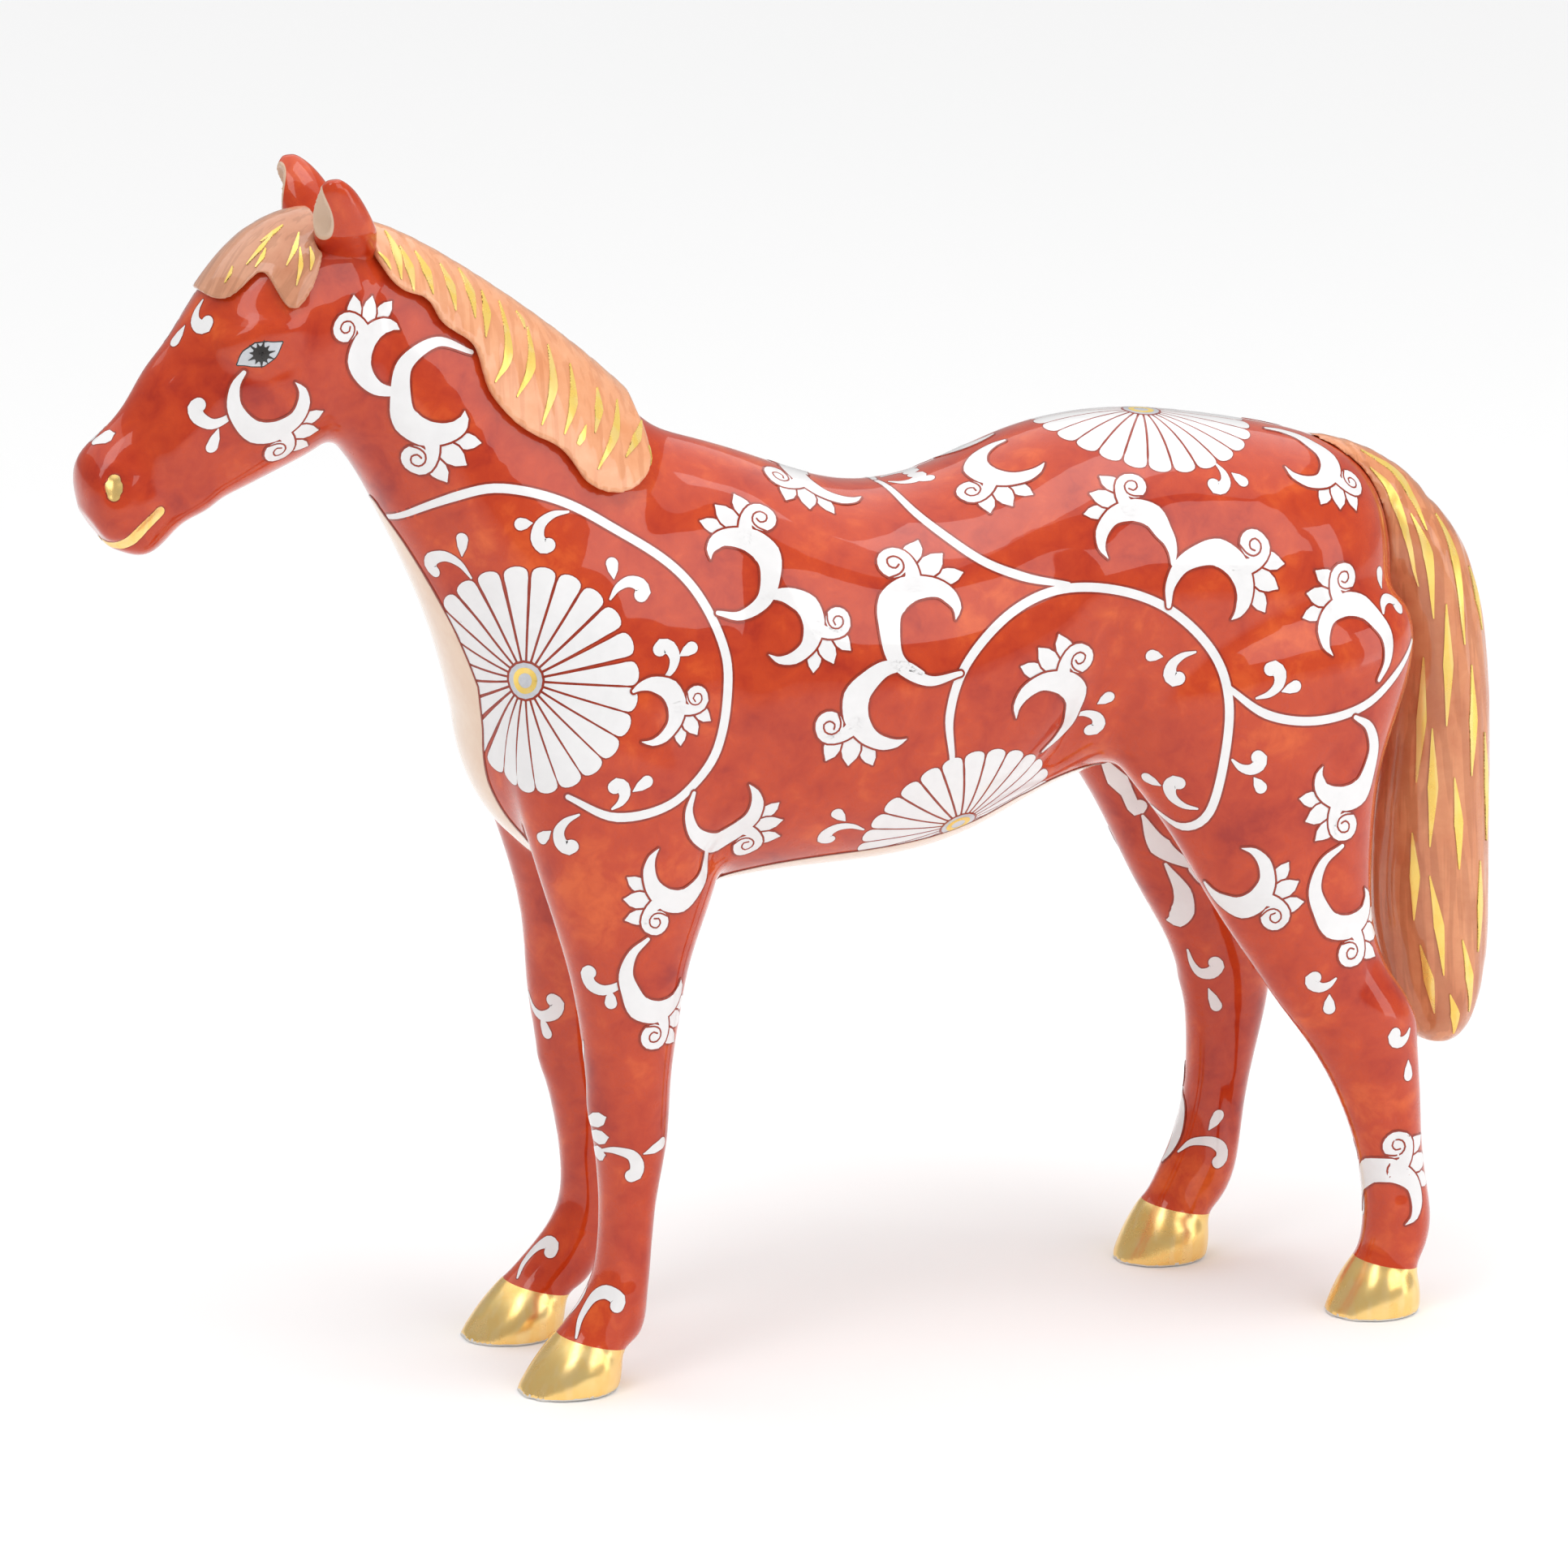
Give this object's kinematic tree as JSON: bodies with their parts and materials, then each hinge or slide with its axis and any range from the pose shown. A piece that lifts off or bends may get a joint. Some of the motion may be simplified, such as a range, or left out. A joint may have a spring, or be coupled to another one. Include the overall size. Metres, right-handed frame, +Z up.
{
  "type": "horse figurine",
  "caption": "Standing horse figurine in glazed porcelain, with painted scroll flowers, relief mane and forelock, hanging tail and gilded hooves; rests on its own hooves.",
  "frame": {"origin": "middle of the figurine's length and width, on the surface the hooves stand on", "axes": "+Z up, -X towards the nose, -Y towards the horse's left side"},
  "size_m": [0.1816, 0.0416, 0.1502],
  "materials": {
    "red_glaze": "porcelain under a glossy iron-red glaze, brushed so that it clouds from orange to deep red",
    "peach_glaze": "porcelain under a glossy peach-orange glaze with gold brush strokes",
    "gilding": "porcelain gilded with burnished gold, satin to glossy"
  },
  "bodies": {
    "root": {"torso": "red_glaze", "neck": "red_glaze", "head": "red_glaze", "left_ear": "red_glaze", "right_ear": "red_glaze", "mane": "peach_glaze", "forelock": "peach_glaze", "tail": "peach_glaze", "left_foreleg": "red_glaze", "right_foreleg": "red_glaze", "left_hind_leg": "red_glaze", "right_hind_leg": "red_glaze", "left_fore_hoof": "gilding", "right_fore_hoof": "gilding", "left_hind_hoof": "gilding", "right_hind_hoof": "gilding"}
  },
  "joints": []
}
